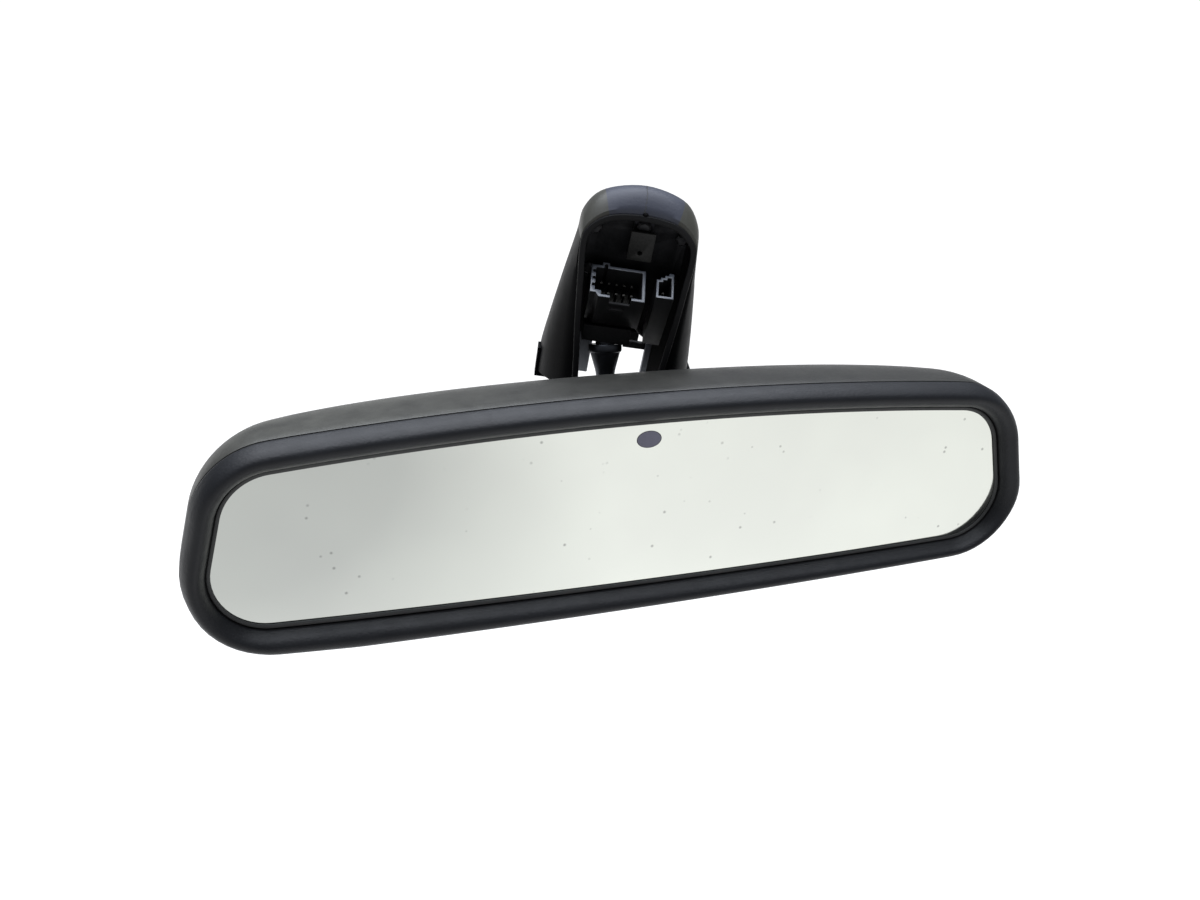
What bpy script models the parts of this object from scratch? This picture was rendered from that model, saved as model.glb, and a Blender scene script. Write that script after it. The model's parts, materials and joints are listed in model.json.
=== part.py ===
"""Interior rearview mirror: self-dimming head on a ball joint under a windscreen arm.

World frame: metres, +X to the right along the head, +Y away from the driver, +Z up.
The glass faces -Y.  The origin is the middle of the flat floor of the windscreen button slot.
Head pieces are drawn in the head frame and arm pieces in the arm frame; both have their
origin at the centre of the ball, and their numbers are millimetres.
"""
import math

import bmesh
import bpy
from mathutils import Matrix, Vector

MM = 0.001
GAP = 0.3  # clearance between neighbouring pieces

# ---- driving dimensions, millimetres and degrees ----
ARM_YAW = -15.4  # the arm as it stands, turned and rolled against the head
ARM_ROLL = 7.0
FOOT_TILT = 15.0  # windscreen against the arm
SOCKET_TILT = 35.0  # plug direction against the arm
STUD_LEAN = (-0.148, 0.240, 0.960)  # direction of the stud in the arm frame

BALL_R = 7.5
LINER_R = 9.1
CUP_R = 12.2
DOME_R = 14.5
NECK_R = 2.7
BORE_R = 1.5
MOUTH_BACK = 14.0  # lean of the dome's mouth from straight up
MOUTH_HALF = 37.0  # half angle of the dome's mouth

GLASS_Y = -36.0  # front face of the glass, ahead of the ball
MID_Z = -2.5  # middle height of the head
GLASS_TOP = 22.9  # visible glass above the middle, on the centre line
GLASS_BOTTOM = -24.3
TOP_ARC_R = 1080.0  # radius of the arched top edge
BOTTOM_ARC_R = 3200.0
SIDE_X = 110.9  # half width of the visible glass at mid height
SIDE_SLANT = 0.25  # the ends widen downwards by this much for each unit of height
CORNER_R = 11.0
TOP_STEPS = 18
CORNER_STEPS = 5
SIDE_STEPS = 2

BEZEL_WIDTH = 8.4
END_NARROW = 0.12  # the band is this share narrower at the two ends
LOW_NARROW = 0.065  # and along the bottom, where it also tapers towards +X
LOW_TAPER = 0.21
BEZEL_FRONT = 5.4  # crest of the bezel ahead of the glass
SEAM = 4.0  # bezel's back edge behind the glass face
SHELL = 2.0
CROWN_MID = 39.0  # depth of the rear housing at the middle and at the ends
CROWN_END = 14.0
CROWN_POWER = 2.4  # above 2 the cross-section is boxier than an ellipse
RIDGE_LENGTH = 0.84  # length of the back ridge against the head
CROWN_STEPS = 8

WALL = 1.8
FLARE = 3.2  # how soon the arm's walls reach their full width behind the near rim
WINDSCREEN = 28.0  # windscreen plane in the foot frame
ARM_NEAR = 0.0
NEAR_RIM = (
    (12.6, 15.5), (13.4, 24), (14.7, 36), (15.7, 48), (16.4, 58), (15.0, 63.5), (9.6, 68.0), (0, 69.6),
)
FAR_RIM = (
    (23.0, 7), (22.5, 16.3), (21.2, 26.7), (19.3, 40.1), (17.2, 53.6), (16.2, 61.9), (11.2, 68.4), (0, 71.7),
)
FOOT_LOW = 42.0
FOOT_HIGH = 62.0
SLOT_FLOOR = 25.0

MAIN_SOCKET_AT = (-11.9, 5.8, 51.7)
MAIN_SOCKET = (15.7, 11.5, 12.2)
SMALL_SOCKET_AT = (6.5, 3.0, 52.7)
SMALL_SOCKET = (5.0, 9.3, 21.5)

for old in list(bpy.data.objects):
    bpy.data.objects.remove(old, do_unlink=True)


# ---- materials ----
def material(name, colour, roughness, metallic=0.0, transmission=0.0):
    made = bpy.data.materials.new(name)
    made.use_nodes = True
    shader = made.node_tree.nodes["Principled BSDF"]
    shader.inputs["Base Color"].default_value = (*colour, 1.0)
    shader.inputs["Roughness"].default_value = roughness
    shader.inputs["Metallic"].default_value = metallic
    shader.inputs["Transmission Weight"].default_value = transmission
    return made


# ---- frames ----
def frame(name, parent=None, at=(0, 0, 0), turn=None):
    empty = bpy.data.objects.new(name, None)
    bpy.context.scene.collection.objects.link(empty)
    empty.parent = parent
    empty.matrix_local = Matrix.Translation(Vector(at) * MM) @ (turn or Matrix.Identity(4))
    return empty


arm_turn = Matrix.Rotation(math.radians(ARM_YAW), 4, "Z") @ Matrix.Rotation(math.radians(ARM_ROLL), 4, "Y")
foot_turn = Matrix.Rotation(math.radians(FOOT_TILT), 4, "X")
socket_turn = Matrix.Rotation(math.radians(SOCKET_TILT), 4, "X")
stud_turn = Vector((0, 0, 1)).rotation_difference(Vector(STUD_LEAN)).to_matrix().to_4x4()
mouth_turn = Matrix.Rotation(math.radians(-MOUTH_BACK), 4, "X")
mount_point = Vector((0, SLOT_FLOOR, (FOOT_LOW + FOOT_HIGH) / 2))
ball_centre = -(arm_turn @ foot_turn @ mount_point)

HEAD = frame("head_frame", at=ball_centre)
ARM = frame("arm_frame", at=ball_centre, turn=arm_turn)
FOOT = frame("foot_frame", ARM, turn=foot_turn)
STUD = frame("stud_frame", ARM, turn=stud_turn)
MOUTH = frame("mouth_frame", HEAD, turn=mouth_turn)
MAIN = frame("main_socket_frame", ARM, MAIN_SOCKET_AT, socket_turn)
SMALL = frame("small_socket_frame", ARM, SMALL_SOCKET_AT, socket_turn)


# ---- building blocks ----
def solid(name, parent, verts, faces, finish=None, sharp=35):
    """One mesh object from millimetre points; without a finish it is a hidden cutter."""
    mesh = bpy.data.meshes.new(name)
    bm = bmesh.new()
    made = [bm.verts.new(Vector(v) * MM) for v in verts]
    for face in faces:
        bm.faces.new([made[i] for i in face])
    bmesh.ops.recalc_face_normals(bm, faces=bm.faces)
    bm.to_mesh(mesh)
    bm.free()
    mesh.shade_smooth()
    mesh.set_sharp_from_angle(angle=math.radians(sharp))
    made_object = bpy.data.objects.new(name, mesh)
    bpy.context.scene.collection.objects.link(made_object)
    made_object.parent = parent
    if finish:
        mesh.materials.append(finish)
    else:
        made_object.hide_render = True
        made_object.display_type = "WIRE"
    return made_object


def loft(rings, closed=False):
    """Verts and faces through rings of equal length; closed joins the last ring to the first."""
    count = len(rings[0])
    verts = [point for ring in rings for point in ring]
    faces = []
    spans = len(rings) if closed else len(rings) - 1
    for r in range(spans):
        a = r * count
        b = (r + 1) % len(rings) * count
        faces += [(a + i, a + (i + 1) % count, b + (i + 1) % count, b + i) for i in range(count)]
    if not closed:
        faces += [tuple(range(count)), tuple(range(len(verts) - count, len(verts)))]
    return verts, faces


def box(name, parent, x, y, z, finish=None):
    """Box between pairs of x, y and z."""
    rings = [[(x[0], y[0], h), (x[1], y[0], h), (x[1], y[1], h), (x[0], y[1], h)] for h in z]
    return solid(name, parent, *loft(rings), finish)


def circle(radius, steps, height):
    turns = [2 * math.pi * i / steps for i in range(steps)]
    return [(radius * math.cos(t), radius * math.sin(t), height) for t in turns]


def turned(name, parent, profile, finish=None, steps=24):
    """Solid turned about Z from (radius, height) pairs."""
    return solid(name, parent, *loft([circle(r, steps, h) for r, h in profile]), finish)


def across(points, at):
    """Z-axis rings laid along +Y from a place in the parent's frame."""
    return [(at[0] + x, at[1] + z, at[2] + y) for x, y, z in points]


def pin(name, parent, at, profile, finish=None, steps=16):
    """Solid turned about a line along +Y through a place, from (radius, distance) pairs."""
    rings = [across(circle(r, steps, h), at) for r, h in profile]
    return solid(name, parent, *loft(rings), finish)


def ball_profile(radius, steps, low=-88.0, high=88.0):
    angles = [math.radians(low + (high - low) * i / steps) for i in range(steps + 1)]
    return [(radius * math.cos(a), radius * math.sin(a)) for a in angles]


def prism(name, parent, outline, heights, finish=None, along="Y"):
    """Flat outline pushed along Y (outline in x, z), Z (x, y) or X (y, z)."""
    place = {
        "X": lambda a, b, h: (h, a, b),
        "Y": lambda a, b, h: (a, h, b),
        "Z": lambda a, b, h: (a, b, h),
    }[along]
    return solid(name, parent, *loft([[place(a, b, h) for a, b in outline] for h in heights]), finish)


def combine(target, other, operation="DIFFERENCE"):
    step = target.modifiers.new(operation.lower(), "BOOLEAN")
    step.operation = operation
    step.solver = "EXACT"
    step.object = other


def cut(target, *cutters):
    for cutter in cutters:
        combine(target, cutter)


def join(target, *others):
    for other in others:
        combine(target, other, "UNION")


def smooth_route(points, per_span):
    """Catmull-Rom points through a list of places."""
    path = [Vector(p) for p in points]
    path = [2 * path[0] - path[1], *path, 2 * path[-1] - path[-2]]
    out = []
    for i in range(1, len(path) - 2):
        p0, p1, p2, p3 = path[i - 1 : i + 3]
        for k in range(per_span):
            t = k / per_span
            out.append(
                0.5 * (2 * p1 + (p2 - p0) * t + (2 * p0 - 5 * p1 + 4 * p2 - p3) * t**2
                       + (3 * p1 - p0 - 3 * p2 + p3) * t**3)
            )
    out.append(path[-2])
    return out


def lead(name, parent, points, radius, finish, per_span=3):
    curve = bpy.data.curves.new(name, "CURVE")
    curve.dimensions = "3D"
    curve.bevel_depth = radius * MM
    curve.bevel_resolution = 2
    curve.use_fill_caps = True
    route = smooth_route(points, per_span)
    spline = curve.splines.new("POLY")
    spline.points.add(len(route) - 1)
    for target, point in zip(spline.points, route):
        target.co = (*(point * MM), 1.0)
    curve.materials.append(finish)
    made_object = bpy.data.objects.new(name, curve)
    bpy.context.scene.collection.objects.link(made_object)
    made_object.parent = parent
    return made_object


# ---- outline of the head ----
def arc_height(x, grow, radius, level):
    """Height of an arched edge at x after moving it out by grow."""
    return math.sqrt((radius + grow) ** 2 - x * x) - radius + level


def corner_centre(upper):
    """Centre of the corner circle between an arched edge and the slanted right end."""
    length = math.hypot(1, SIDE_SLANT)
    height = 0.0
    for _ in range(8):
        x = SIDE_X - SIDE_SLANT * height - CORNER_R * length
        top = arc_height(x, -CORNER_R, TOP_ARC_R, GLASS_TOP)
        low = -arc_height(x, -CORNER_R, BOTTOM_ARC_R, -GLASS_BOTTOM)
        height = top if upper else low
    return x, height


def low_lift(x, z, grow):
    """How much less the outline grows along its lower half."""
    low = min(max(-z / 20, 0), 1)
    return grow * low * (LOW_NARROW + LOW_TAPER * x / SIDE_X)


def head_outline(grow):
    """Closed (x, z) outline of the visible glass moved out by grow, clockwise from top left."""
    ux, uz = corner_centre(True)
    lx, lz = corner_centre(False)
    ux -= grow * END_NARROW
    lx -= grow * END_NARROW
    radius = CORNER_R + grow
    end = math.atan(SIDE_SLANT)
    right = []
    for k in range(CORNER_STEPS + 1):
        turn = math.pi / 2 - 0.09 + (end - math.pi / 2 + 0.09) * k / CORNER_STEPS
        right.append((ux + radius * math.cos(turn), uz + radius * math.sin(turn)))
    first = right[-1]
    low_start = (lx + radius * math.cos(end), lz + radius * math.sin(end))
    for k in range(1, SIDE_STEPS):
        share = k / SIDE_STEPS
        right.append(tuple(a + (b - a) * share for a, b in zip(first, low_start)))
    for k in range(CORNER_STEPS + 1):
        turn = end + (-math.pi / 2 + 0.03 - end) * k / CORNER_STEPS
        right.append((lx + radius * math.cos(turn), lz + radius * math.sin(turn)))
    xs = [ux * (2 * i / TOP_STEPS - 1) for i in range(1, TOP_STEPS)]
    top = [(x, arc_height(x, grow, TOP_ARC_R, GLASS_TOP)) for x in xs]
    bottom = [(-x, -arc_height(x, grow, BOTTOM_ARC_R, -GLASS_BOTTOM)) for x in xs]
    left = [(-x, z) for x, z in reversed(right)]
    return [(x, z + low_lift(x, z, grow)) for x, z in top + right + bottom + left]


def head_ring(grow, behind):
    """Outline ring in the head frame, a distance behind the glass face."""
    return [(x, GLASS_Y + behind, MID_Z + z) for x, z in head_outline(grow)]


def head_plate(name, grow, front, back, finish):
    return solid(name, HEAD, *loft([head_ring(grow, front), head_ring(grow, back)]), finish)


# ---- head: bezel and rear housing ----
def crown_depth(x):
    return CROWN_END + (CROWN_MID - CROWN_END) * (1 - (min(abs(x), 124) / 125) ** 4)


def crown(name, inset, finish=None):
    """Closed crowned body behind the seam; inset makes the hollow's shape."""
    outline = head_outline(BEZEL_WIDTH - inset)
    start = SEAM + GAP
    rings = []
    if inset:
        rings.append([(x, GLASS_Y + start - 1, MID_Z + z) for x, z in outline])
    for k in range(CROWN_STEPS + 1):
        share = math.sin(0.475 * math.pi * k / CROWN_STEPS)
        shrink = (1 - share**CROWN_POWER) ** (1 / CROWN_POWER)
        along = RIDGE_LENGTH + (1 - RIDGE_LENGTH) * shrink
        ring = []
        for x, z in outline:
            deep = (crown_depth(x * along) - inset) * share
            ring.append((x * along, GLASS_Y + start + deep, MID_Z + z * shrink))
        rings.append(ring)
    verts, faces = loft(rings)
    faces.pop()
    faces += ridge_faces(len(verts) - len(outline), len(outline))
    return solid(name, HEAD, verts, faces, finish, sharp=50)


def ridge_faces(start, count):
    """Faces that close the narrow last ring: quads from top to bottom, and one face at each end."""
    tops = TOP_STEPS - 1
    bottom = count // 2
    faces = []
    for i in range(tops - 1):
        j = bottom + tops - 1 - i
        faces.append((start + i, start + i + 1, start + j - 1, start + j))
    faces.append(tuple(start + k for k in range(tops - 1, bottom + 1)))
    faces.append((start, *[start + k for k in range(bottom + tops - 1, count)]))
    return faces


def make_bezel(finish):
    section = (
        (0.0, -GAP), (0.0, -1.7), (0.8, -2.0), (1.6, -4.0), (4.0, -BEZEL_FRONT), (6.2, -4.5),
        (7.8, -2.0), (BEZEL_WIDTH, 1.0), (BEZEL_WIDTH, SEAM), (6.4, SEAM), (6.4, 1.8), (2.6, 1.8),
         (2.6, -GAP),
    )
    rings = [head_ring(grow, behind) for grow, behind in section]
    solid("front_bezel", HEAD, *loft(rings, closed=True), finish)


def make_rear_housing(finish):
    shell = crown("rear_housing", 0.0, finish)
    recess = box("recess_cutter", HEAD, (-34, 34), (-10.5, 60), (4, 60))
    rounded = recess.modifiers.new("rounded", "BEVEL")
    rounded.width = 5 * MM
    rounded.segments = 3
    dome = turned("dome_shape", HEAD, ball_profile(DOME_R, 12), steps=28)
    hollow = crown("hollow_cutter", SHELL)
    cut(hollow, box("recess_wall_cutter", HEAD, (-36, 36), (-12.5, 60), (2, 60)))
    join(hollow, turned("dome_hollow", HEAD, ball_profile(DOME_R - 1.9, 12), steps=28))
    reach = 15.5
    wide = math.tan(math.radians(MOUTH_HALF))
    mouth = turned("mouth_cutter", MOUTH, ((5 * wide, 5), (reach * wide, reach)), steps=28)
    window = pin("sensor_window_cutter", HEAD, (-45, -10, MID_Z), ((3.1, 0), (3.1, 30)))
    cut(shell, recess)
    join(shell, dome)
    cut(shell, hollow, mouth, window)


# ---- head: dimming cell, carrier and electronics ----
def make_cell(glass, mirror, seal, gel, copper, foam):
    head_plate("front_glass", 2.1, 0.0, 1.8, glass)
    rings = [head_ring(g, b) for g, b in ((1.8, 2.0), (1.8, 2.4), (0.9, 2.4), (0.9, 2.0))]
    solid("cell_seal", HEAD, *loft(rings, closed=True), seal)
    head_plate("electrochromic_gel", 0.6, 2.0, 2.4, gel)
    head_plate("rear_glass", 1.8, 2.6, 4.3, mirror)
    for name, level, radius, sign in (
        ("bus_clip_top", GLASS_TOP, TOP_ARC_R, 1),
        ("bus_clip_bottom", -GLASS_BOTTOM, BOTTOM_ARC_R, -1),
    ):
        rows = []
        for grow, behind in ((2.2, 2.1), (2.2, 6.0), (3.0, 6.0), (3.0, 2.1)):
            xs = [-70 + 14 * i for i in range(11)]
            rows.append([
                (x, GLASS_Y + behind, MID_Z + sign * arc_height(x, grow, radius, level)) for x in xs
            ])
        rings = [list(step) for step in zip(*rows)]
        solid(name, HEAD, *loft(rings), copper)
    pad = head_plate("foam_pad", -0.5, 4.6, 5.6, foam)
    cut(pad, pin("pad_window_cutter", HEAD, (0, -36, 16), ((4.4, 0), (4.4, 12))))


BOSSES = [(x, z) for x in (-14, 14) for z in (MID_Z - 10.5, MID_Z + 10.5)]
BOARD_POSTS = [(-62, MID_Z), (62, MID_Z)]
CARRIER_BACK = GLASS_Y + 7.8
BOARD_FRONT = GLASS_Y + 10.5
BOARD_BACK = BOARD_FRONT + 1.6
PLATE_FRONT = -21.0
PLATE_BACK = -18.8


def make_carrier(plastic, screw_steel):
    carrier = head_plate("glass_carrier", 2.6, 6.4, 7.8, plastic)
    join(carrier, *[
        pin(f"boss_shape_{i}", HEAD, (x, CARRIER_BACK - 0.5, z),
            ((3.0, 0), (3.0, PLATE_FRONT - CARRIER_BACK + 0.2)))
        for i, (x, z) in enumerate(BOSSES)
    ])
    join(carrier, *[
        pin(f"post_shape_{i}", HEAD, (x, CARRIER_BACK - 0.5, z),
            ((2.6, 0), (2.6, BOARD_FRONT - CARRIER_BACK + 0.2)))
        for i, (x, z) in enumerate(BOARD_POSTS)
    ])
    cut(carrier, *[
        pin(f"boss_bore_{i}", HEAD, (x, CARRIER_BACK, z), ((1.3, 0), (1.3, 12)), steps=12)
        for i, (x, z) in enumerate(BOSSES + BOARD_POSTS)
    ])
    cut(carrier, pin("carrier_window_cutter", HEAD, (0, -36, 16), ((4.2, 0), (4.2, 12))))
    for i, (x, z) in enumerate(BOSSES):
        shape = ((1.0, -5.5), (1.0, GAP), (2.3, GAP), (2.3, 1.2), (1.7, 1.9))
        pin(f"socket_screw_{i + 1}", HEAD, (x, PLATE_BACK, z), shape, screw_steel, steps=8)
    for i, (x, z) in enumerate(BOARD_POSTS):
        shape = ((1.0, -3.6), (1.0, GAP), (2.2, GAP), (2.2, 1.1), (1.6, 1.7))
        pin(f"board_screw_{i + 1}", HEAD, (x, BOARD_BACK, z), shape, screw_steel, steps=8)


def make_electronics(board, chip, plastic, clear):
    sheet = box("circuit_board", HEAD, (-72, 72), (BOARD_FRONT, BOARD_BACK),
                (MID_Z - 15.5, MID_Z + 21), board)
    cut(sheet, *[
        pin(f"board_hole_{i}", HEAD, (x, BOARD_FRONT - 2, z), ((3.4, 0), (3.4, 6)))
        for i, (x, z) in enumerate(BOSSES)
    ])
    cut(sheet, *[
        pin(f"board_screw_hole_{i}", HEAD, (x, BOARD_FRONT - 2, z), ((1.3, 0), (1.3, 6)), steps=12)
        for i, (x, z) in enumerate(BOARD_POSTS)
    ])
    back = BOARD_BACK + 0.2
    box("controller_chip", HEAD, (34, 44), (back, back + 1.4), (2, 12), chip)
    box("ambient_sensor", HEAD, (-47, -43), (back, back + 1.2), (MID_Z - 2, MID_Z + 2), chip)
    box("glare_sensor", HEAD, (-2, 2), (BOARD_FRONT - 1.4, BOARD_FRONT - 0.2), (14.5, 18.5), chip)
    pin("sensor_light_pipe", HEAD, (0, GLASS_Y + 4.6, 16), ((3.6, 0), (3.6, 3.2), (2.2, 4.2)), clear)
    pin("ambient_light_pipe", HEAD, (-45, back + 1.5, MID_Z), ((2.7, 0), (2.7, 29.2), (2.2, 29.8)), clear)
    plug = box("board_connector", HEAD, (24, 38), (back, back + 6), (MID_Z - 4, MID_Z + 4), plastic)
    cut(plug, box("plug_cavity_cutter", HEAD, (25, 37), (back + 1.2, back + 8), (MID_Z - 3, MID_Z + 3)))


# ---- ball joint ----
def make_ball_joint(metal, liner, steel):
    plate = box("ball_socket", HEAD, (-18, 18), (PLATE_FRONT, PLATE_BACK),
                (MID_Z - 14.5, MID_Z + 14.5), metal)
    join(
        plate,
        box("socket_arm_shape", HEAD, (-9, 9), (PLATE_BACK - 0.5, -5), (-10, 1.5)),
        turned("cup_shape", HEAD, ball_profile(CUP_R, 10), steps=20),
    )
    wide = math.tan(math.radians(46))
    cut(
        plate,
        turned("cup_hollow", HEAD, ball_profile(LINER_R + GAP, 10), steps=20),
        turned("cup_mouth", MOUTH, ((1 * wide, 1), (14 * wide, 14)), steps=20),
        turned("cup_drain", HEAD, ((5.4, -14), (3.4, -6)), steps=20),
    )
    cut(plate, *[
        pin(f"plate_hole_{i}", HEAD, (x, PLATE_FRONT - 2, z), ((1.4, 0), (1.4, 6)), steps=12)
        for i, (x, z) in enumerate(BOSSES)
    ])
    for name, low, high in (("seat_cup", -63, -4), ("seat_ring", -1, 42)):
        outer = ball_profile(LINER_R, 5, low, high)
        inner = ball_profile(BALL_R + GAP, 5, low, high)
        rings = [circle(r, 20, h) for r, h in outer + inner[::-1]]
        solid(name, MOUTH, *loft(rings, closed=True), liner)

    low = -math.degrees(math.acos(BORE_R * 1.2 / BALL_R))
    neck = math.degrees(math.acos(NECK_R / BALL_R))
    taper = [(NECK_R, 20), (3.3, 23), (4.4, 27), (4.9, 29.4), (2.8, 29.4), (2.8, 35)]
    profile = [*ball_profile(BALL_R, 9, low, neck), *taper]
    stud = turned("ball_stud", STUD, profile, steel, steps=20)
    flare = math.tan(math.radians(31))
    cut(
        stud,
        turned("stud_bore", STUD, ((BORE_R, -2), (BORE_R, 40)), steps=16),
        turned("stud_flare", STUD, ((BORE_R + 9 * flare, -9), (BORE_R, 0)), steps=16),
    )


# ---- arm ----
def rim(half, per_span=2):
    """Left-bottom to right-bottom points of an arched rim from its right half."""
    right = [tuple(p)[:2] for p in smooth_route([(x, z, 0) for x, z in half], per_span)]
    return [(-x, z) for x, z in right] + [(x, z) for x, z in reversed(right[:-1])]


def make_mount_housing(finish):
    tilt = foot_turn.to_3x3()
    near = [(x, ARM_NEAR, z) for x, z in rim(NEAR_RIM)]
    far_edge = WINDSCREEN - 0.4
    far = [tuple(tilt @ Vector((x, far_edge, z))) for x, z in rim(FAR_RIM)]
    rings = []
    for k in range(5):
        share = k / 4
        spread = 1 - (1 - share) ** FLARE
        ring = []
        for a, b in zip(near, far):
            x = a[0] + (b[0] - a[0]) * spread
            y = a[1] + (b[1] - a[1]) * share
            z = a[2] + (b[2] - a[2]) * (spread if a[2] > 50 else share)
            ring.append((x, y, z))
        rings.append(ring)
    # the wall is the outer skin and a copy of it moved inwards
    inner = []
    for ring in rings:
        moved = []
        for i, point in enumerate(ring):
            before = Vector(ring[max(i - 1, 0)])
            after = Vector(ring[min(i + 1, len(ring) - 1)])
            along = (after - before).normalized()
            inward = Vector((0, 1, 0)).cross(along).normalized()
            moved.append(tuple(Vector(point) + inward * WALL))
        inner.append(moved)
    loops = [list(pair) for pair in zip(*rings)]
    inner_loops = [list(pair) for pair in zip(*inner)]
    sections = [loop + inside[::-1] for loop, inside in zip(loops, inner_loops)]
    housing = solid("mount_housing", ARM, *loft(sections), finish, sharp=40)

    # back wall in the windscreen plane, open at the bottom between the flanges
    edge = [(x * 0.965, z - (0.8 if z > 60 else 0)) for x, z in rim(FAR_RIM)]
    notch = [(9.3, 7), (9.3, 23.5), (-9.3, 23.5), (-9.3, 7)]
    wall = prism("back_wall_shape", FOOT, edge + notch, (26.0, 27.6))
    window = box("foot_window_cutter", FOOT, (-11.3, 11.3), (20, 30), (FOOT_LOW - GAP, FOOT_HIGH + GAP))
    lugs = [
        box(f"cover_lug_shape_{side}", ARM, sorted((side * 18.8, side * 23.4)), (15.5, 21.5), (12.5, 21.5))
        for side in (-1, 1)
    ]
    holes = [
        pin(f"foot_screw_bore_{i}", FOOT, (x, 20, z), ((0.9, 0), (0.9, 10)), steps=10)
        for i, (x, z) in enumerate(FOOT_SCREWS)
    ]
    join(housing, wall, *lugs)
    cut(housing, window, *holes)


FOOT_SCREWS = [(x, z) for x in (-12.4, 12.4) for z in (45, 58)]
SPRING_RIVET = (1.0, 60.3)


def make_foot(cast, spring_steel, plastic, screw_steel):
    section = (
        (-14, 23.2), (14, 23.2), (14, 25.7), (11, 25.7), (11, 28), (6.4, 28), (6.4, 27.3), (8.4, 27.3),
        (8.4, SLOT_FLOOR), (-8.4, SLOT_FLOOR), (-8.4, 27.3), (-6.4, 27.3), (-6.4, 28), (-11, 28), (-11, 25.7),
        (-14, 25.7),
    )
    plate = prism("foot_plate", FOOT, section, (FOOT_LOW, FOOT_HIGH), cast, along="Z")
    cut(plate, *[
        pin(f"foot_hole_{i}", FOOT, (x, 20, z), ((1.1, 0), (1.1, 10)), steps=10)
        for i, (x, z) in enumerate(FOOT_SCREWS)
    ])
    x, z = SPRING_RIVET
    cut(plate, pin("rivet_hole_cutter", FOOT, (x, 20, z), ((1.4, 0), (1.4, 4.6)), steps=12))
    for i, (sx, sz) in enumerate(FOOT_SCREWS):
        shape = ((1.2, -1.5), (1.8, -1.0), (1.8, -GAP), (0.7, -GAP), (0.7, 3.6))
        pin(f"foot_screw_{i + 1}", FOOT, (sx, 23.2, sz), shape, screw_steel, steps=8)
    middle = [(22.6, 62.6), (22.6, 57.8), (21.2, 56.2), (21.2, 51.2), (22.7, 49.6)]
    outer = [(y + 0.5, s + 0.15) for y, s in middle]
    leaf = prism("retaining_spring", FOOT, middle + outer[::-1], (x - 2.8, x + 2.8), spring_steel, along="X")
    cut(leaf, pin("leaf_hole_cutter", FOOT, (x, 20, z), ((1.3, 0), (1.3, 5)), steps=12))
    rivet = ((1.5, -1.5), (2.1, -1.0), (2.1, -GAP - 0.1), (1.0, -GAP - 0.1), (1.0, 1.8))
    pin("spring_rivet", FOOT, (x, 22.6, z), rivet, screw_steel, steps=8)
    tab = box("release_tab", FOOT, (x - 3.5, x + 3.5), (19.2, 20.9), (51.2, 57.0), plastic)
    upper = box("tab_top_shape", FOOT, (x - 3.5, x + 3.5), (19.2, 20.3), (56.0, 60.0))
    upper_cut = box("tab_relief_cutter", FOOT, (x - 4, x + 4), (20.3, 24), (56.4, 64))
    join(tab, upper)
    cut(tab, upper_cut, pin("tab_hole_cutter", FOOT, (x - 0.1, 15, 53.6), ((0.7, 0), (0.7, 8)), steps=10))


def pin_header(name, parent, columns, rows, level, tip, half, finish):
    """Header slab with square pins standing on it; level and tip are heights."""
    xs, ys = columns, rows
    width = (xs[0] - 1.0, xs[-1] + 1.0)
    height = (ys[0] - 0.9, ys[-1] + 0.9)
    slab = box(name, parent, width, height, (level, level + 0.8), finish)
    for i, x in enumerate(xs):
        for j, y in enumerate(ys):
            across = (x - half, x + half)
            join(slab, box(f"{name}_pin_{i}_{j}", parent, across, (y - half, y + half), (level + 0.4, tip)))


def make_sockets(plastic, pin_metal):
    w, h, d = MAIN_SOCKET
    outline = (
        (0, 0), (3.1, 0), (3.1, 1.2), (5.3, 1.2), (5.3, 0), (w, 0), (w, -h), (2.4, -h),
        (1.6, -h + 1.4), (0, -h + 1.4),
    )
    main = prism("main_socket", MAIN, outline, (-d, 0), plastic, along="Z")
    bar = box("latch_bar_shape", MAIN, (6.3, 10.0), (-h - 0.7, -h + 0.3), (-5.0, -4.2))
    join(main, bar)
    cavity = ((1.4, -1), (3.7, -1), (3.7, 0.5), (4.7, 0.5), (4.7, -1), (w - 1, -1), (w - 1, -h + 1),
              (3.2, -h + 1),
              (3.2, -h + 2.4), (1.4, -h + 2.4))
    cut(
        main,
        prism("main_cavity_cutter", MAIN, cavity, (-9.0, 3), along="Z"),
        box("latch_gap_cutter", MAIN, (5.8, 11.8), (-h - 0.2, -h + 3), (-2.6, 2)),
        *[
            box(f"tooth_cutter_{i}", MAIN, (0.5, 2), (y - 0.9, y), (-5.5, 2))
            for i, y in enumerate((-1.9, -4.4, -6.9))
        ],
    )
    rows = (-7.4, -4.0)
    pin_header("main_pin_header", MAIN, [3.4 + 2.2 * i for i in range(5)], rows, -8.7, -3.0, 0.32, pin_metal)

    w, h, d = SMALL_SOCKET
    steps = (
        (0, -2.7), (1.2, -2.7), (1.2, -1.8), (2.4, -1.8), (2.4, -0.9), (3.6, -0.9), (3.6, 0), (w, 0),
        (w, -h), (0, -h),
    )
    small = prism("small_socket", SMALL, steps, (-d, 0), plastic, along="Z")
    hollow = ((0.7, -3.5), (1.9, -3.5), (1.9, -2.6), (3.1, -2.6), (3.1, -1.7), (w - 0.7, -1.7), (w - 0.7, -h + 0.8),
              (0.7, -h + 0.8))
    cut(small, prism("small_cavity_cutter", SMALL, hollow, (-9.0, 3), along="Z"))
    rows = [-7.2 + 1.3 * i for i in range(3)]
    pin_header("small_pin_header", SMALL, [w / 2], rows, -8.7, -3.5, 0.3, pin_metal)


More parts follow.
